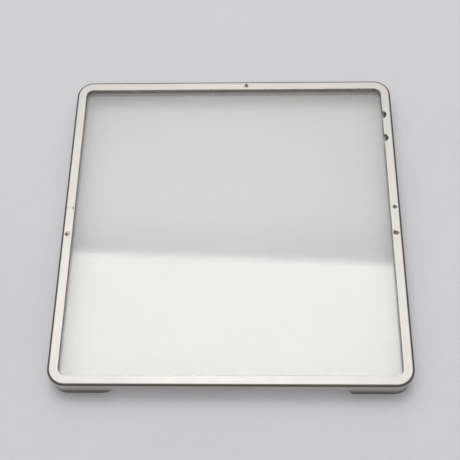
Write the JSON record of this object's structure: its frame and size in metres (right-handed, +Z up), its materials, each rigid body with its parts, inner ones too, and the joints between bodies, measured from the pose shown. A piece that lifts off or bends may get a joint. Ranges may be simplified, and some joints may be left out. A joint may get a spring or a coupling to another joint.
{
  "type": "negative carrier",
  "caption": "Glass half of a large-format negative carrier: a clear plate sprung up under the rim of a shallow square metal frame, cut away along its front.",
  "frame": {"origin": "on the plane that the frame stands on, under the middle of the frame", "axes": "+X to the right (the side with the two notches), +Y from the front side to the rear side, +Z up through the glass"},
  "size_m": [0.1524, 0.1524, 0.011],
  "materials": {
    "satin_nickel": "satin, finely grained along each side",
    "clear_glass": "polished clear",
    "spring_steel": "dull blued spring strip",
    "black_cushion": "matte black felt",
    "rivet_metal": "satin, darker than the rim"
  },
  "bodies": {
    "frame": {"frame": "satin_nickel", "clip_right": "spring_steel", "clip_rear": "spring_steel", "clip_left": "spring_steel", "clip_front": "spring_steel", "cushion_right_front": "black_cushion", "cushion_right_rear": "black_cushion", "cushion_rear_right": "black_cushion", "cushion_rear_left": "black_cushion", "cushion_left_rear": "black_cushion", "cushion_left_front": "black_cushion", "cushion_front_left": "black_cushion", "cushion_front_right": "black_cushion", "rivet_right_front": "rivet_metal", "rivet_right_rear": "rivet_metal", "rivet_rear_right": "rivet_metal", "rivet_rear_left": "rivet_metal", "rivet_left_rear": "rivet_metal", "rivet_left_front": "rivet_metal", "rivet_front_left": "rivet_metal", "rivet_front_right": "rivet_metal"},
    "glass": {"glass": "clear_glass"}
  },
  "joints": [
    {"name": "glass_float", "type": "slide", "parent": "frame", "child": "glass", "axis": [0, 0, 1], "range_m": [-0.0006, 0], "stiffness_N_per_m": 6000, "springref_m": 0.0008, "deforming": ["clip_right", "clip_rear", "clip_left", "clip_front"]}
  ]
}
